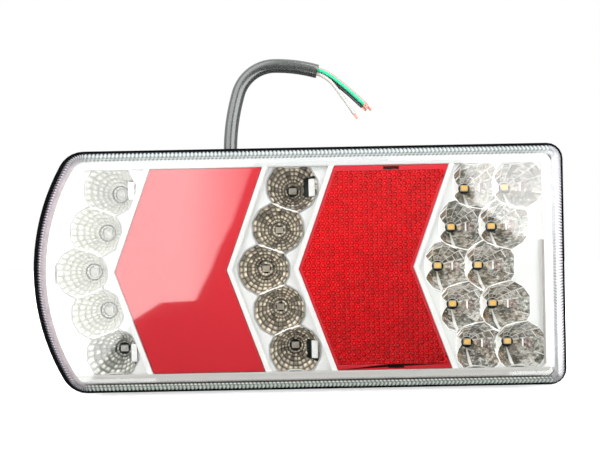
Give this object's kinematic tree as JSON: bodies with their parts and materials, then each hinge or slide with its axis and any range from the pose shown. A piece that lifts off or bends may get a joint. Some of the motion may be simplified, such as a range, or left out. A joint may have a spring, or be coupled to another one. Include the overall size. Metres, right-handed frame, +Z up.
{
  "type": "trailer tail light",
  "caption": "Wide LED rear lamp for a trailer with indicator, tail, stop, reflex and reversing sections behind a clear lens, two mounting studs and a short lead.",
  "frame": {"origin": "centre of the rear mounting face, midway between the two studs", "axes": "+X to the right as seen from the front, +Z up, the front faces -Y and the studs point along +Y"},
  "size_m": [0.233, 0.054, 0.1493],
  "materials": {
    "black_abs": "fine spark-eroded texture, semi-matt",
    "clear_acrylic": "polished clear, ribbed round the edge",
    "bezel_white": "gloss",
    "silvered_plastic": "vacuum-metallised",
    "warm_silvered_plastic": "vacuum-metallised, warm tint",
    "red_acrylic": "polished translucent red",
    "white_plastic": "gloss",
    "black_rubber": "matt",
    "green_board": "solder mask",
    "led_body": "moulded package with clear gel",
    "led_phosphor": "moulded package with yellow phosphor",
    "component_black": "moulded",
    "capacitor_aluminium": "satin can",
    "zinc_plated_steel": "bright zinc plate",
    "grey_pvc": "satin sheath",
    "red_pvc": "satin core insulation",
    "green_pvc": "satin core insulation",
    "black_pvc": "satin core insulation",
    "white_pvc": "satin core insulation",
    "copper": "bare stranded wire",
    "white_membrane": "expanded membrane"
  },
  "bodies": {
    "lamp": {"rear_housing": "black_abs", "lens_seal": "black_rubber", "outer_lens": "clear_acrylic", "bezel": "bezel_white", "indicator_reflector": "silvered_plastic", "stop_reflector": "warm_silvered_plastic", "reverse_reflector": "silvered_plastic", "tail_light_box": "white_plastic", "tail_panel": "red_acrylic", "reflex_reflector": "red_acrylic", "reflex_cover": "white_plastic", "retaining_clips": "white_plastic", "circuit_board": "green_board", "indicator_leds": "led_body", "stop_leds": "led_body", "reverse_leds": "led_phosphor", "tail_leds": "led_body", "series_resistors": "component_black", "protection_diodes": "component_black", "driver_chips": "component_black", "capacitors": "capacitor_aluminium", "board_screws": "zinc_plated_steel", "wire_terminal": "white_plastic", "inner_wires": "red_pvc", "sheath_inlet": "grey_pvc", "cable_clamp": "black_abs", "clamp_screws": "zinc_plated_steel", "cable_grommet": "black_rubber", "mounting_studs": "zinc_plated_steel", "stud_seals": "black_rubber", "vent_membrane": "white_membrane"},
    "lead_lower": {"sheath_lower": "grey_pvc"},
    "lead_upper": {"sheath_upper": "grey_pvc", "red_core": "red_pvc", "green_core": "green_pvc", "black_core": "black_pvc", "white_core": "white_pvc", "copper_strands": "copper"},
    "left_washers": {"left_washer": "zinc_plated_steel", "left_spring_washer": "zinc_plated_steel"},
    "left_nut": {"left_nut": "zinc_plated_steel"},
    "right_washers": {"right_washer": "zinc_plated_steel", "right_spring_washer": "zinc_plated_steel"},
    "right_nut": {"right_nut": "zinc_plated_steel"}
  },
  "joints": [
    {"name": "lead_swing", "type": "hinge", "parent": "lamp", "child": "lead_lower", "pos_m": [-0.0306, -0.0066, 0.053], "axis": [0, 1, 0], "range_deg": [-20, 8]},
    {"name": "lead_bend", "type": "hinge", "parent": "lead_lower", "child": "lead_upper", "pos_m": [-0.02645, -0.0066, 0.08077], "axis": [0, 1, 0], "range_deg": [-20, 10]},
    {"name": "left_washer_travel", "type": "slide", "parent": "lamp", "child": "left_washers", "axis": [0, 1, 0], "range_m": [0, 0.007]},
    {"name": "left_nut_turn", "type": "hinge", "parent": "left_washers", "child": "left_nut", "pos_m": [-0.076, 0, 0], "axis": [0, 1, 0], "range_deg": [0, 2520]},
    {"name": "right_washer_travel", "type": "slide", "parent": "lamp", "child": "right_washers", "axis": [0, 1, 0], "range_m": [0, 0.007]},
    {"name": "right_nut_turn", "type": "hinge", "parent": "right_washers", "child": "right_nut", "pos_m": [0.076, 0, 0], "axis": [0, 1, 0], "range_deg": [0, 2520]}
  ],
  "couplings": [
    {"joint": "left_nut_turn", "follows": "left_washer_travel", "rad_per_m": 6283.2},
    {"joint": "right_nut_turn", "follows": "right_washer_travel", "rad_per_m": 6283.2}
  ]
}
